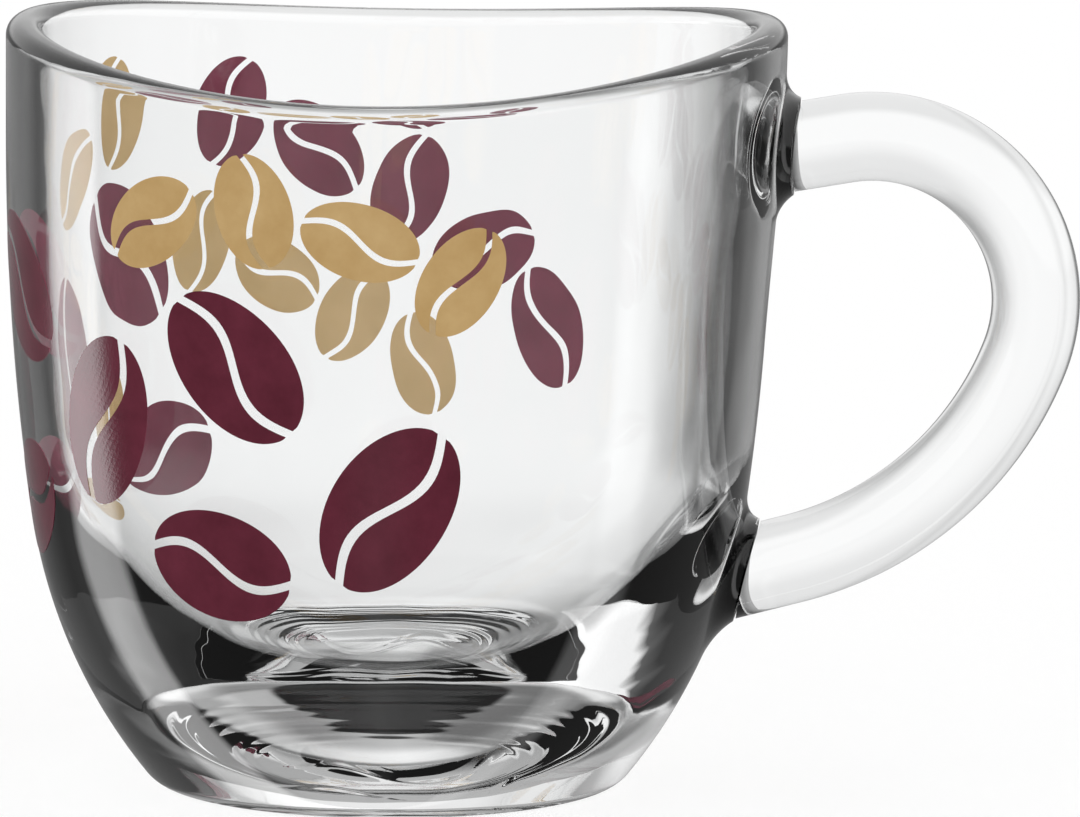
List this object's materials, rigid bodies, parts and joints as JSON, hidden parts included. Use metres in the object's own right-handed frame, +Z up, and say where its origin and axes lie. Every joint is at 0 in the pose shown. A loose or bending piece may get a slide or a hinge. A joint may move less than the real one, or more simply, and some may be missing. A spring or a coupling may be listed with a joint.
{
  "type": "espresso glass",
  "caption": "Small heavy clear-glass espresso cup with a thick base, a rim that rises and dips, and a looped glass handle fused to flared bosses.",
  "frame": {"origin": "bottom centre of the whole cup's bounding box, on the plane that the foot stands on; the bowl's own axis is at X = -12 mm", "axes": "+Z up along the bowl's axis, +X from the bowl towards the handle, +Y away from the pictured side"},
  "size_m": [0.084, 0.061, 0.0603],
  "materials": {
    "clear_glass": "polished",
    "burgundy_enamel": "gloss",
    "tan_enamel": "gloss"
  },
  "bodies": {
    "root": {"cup_body": "clear_glass", "handle": "clear_glass"}
  },
  "joints": []
}
